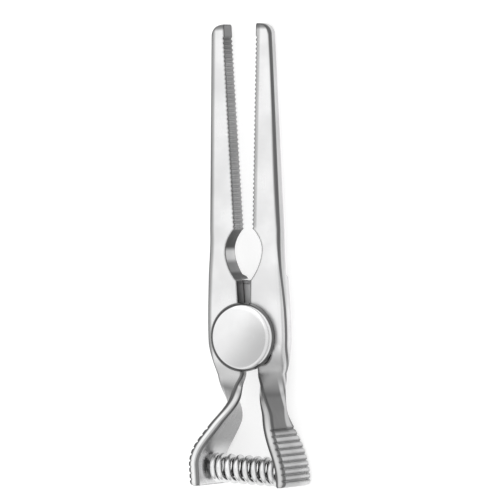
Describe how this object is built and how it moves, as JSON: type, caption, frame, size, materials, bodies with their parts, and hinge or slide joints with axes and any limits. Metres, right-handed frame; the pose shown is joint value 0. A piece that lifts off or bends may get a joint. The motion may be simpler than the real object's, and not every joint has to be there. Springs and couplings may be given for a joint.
{
  "type": "bulldog_clamp",
  "caption": "Spring-closed bulldog clamp with straight serrated jaws, a lap joint under a broad round rivet head and ridged finger grips",
  "frame": {"origin": "on the pivot axis, at the flat rear end of the rivet", "axes": "+Y runs from the pivot to the jaw tips, +Z out of the broad rivet head, +X to the right with the head facing the viewer and the tips up"},
  "size_m": [0.0179, 0.0744, 0.0093],
  "materials": {
    "satin_steel": "satin stainless steel, finely brushed along the arms",
    "rivet_steel": "brighter polished stainless steel",
    "washer_steel": "plain stainless steel",
    "peg_steel": "turned stainless steel",
    "spring_wire": "bright drawn spring wire"
  },
  "bodies": {
    "left_half": {"left_arm": "satin_steel", "left_spring_peg": "peg_steel", "pivot_rivet": "rivet_steel", "pivot_washer": "washer_steel", "coil_spring": "spring_wire"},
    "right_half": {"right_arm": "satin_steel", "right_spring_peg": "peg_steel"}
  },
  "joints": [
    {"name": "arm_hinge", "type": "hinge", "parent": "left_half", "child": "right_half", "pos_m": [0, 0, 0], "axis": [0, 0, 1], "range_deg": [-9.5, 6.6], "stiffness_Nm_per_rad": 0.4, "springref_deg": 20.05, "deforming": ["coil_spring"]}
  ]
}
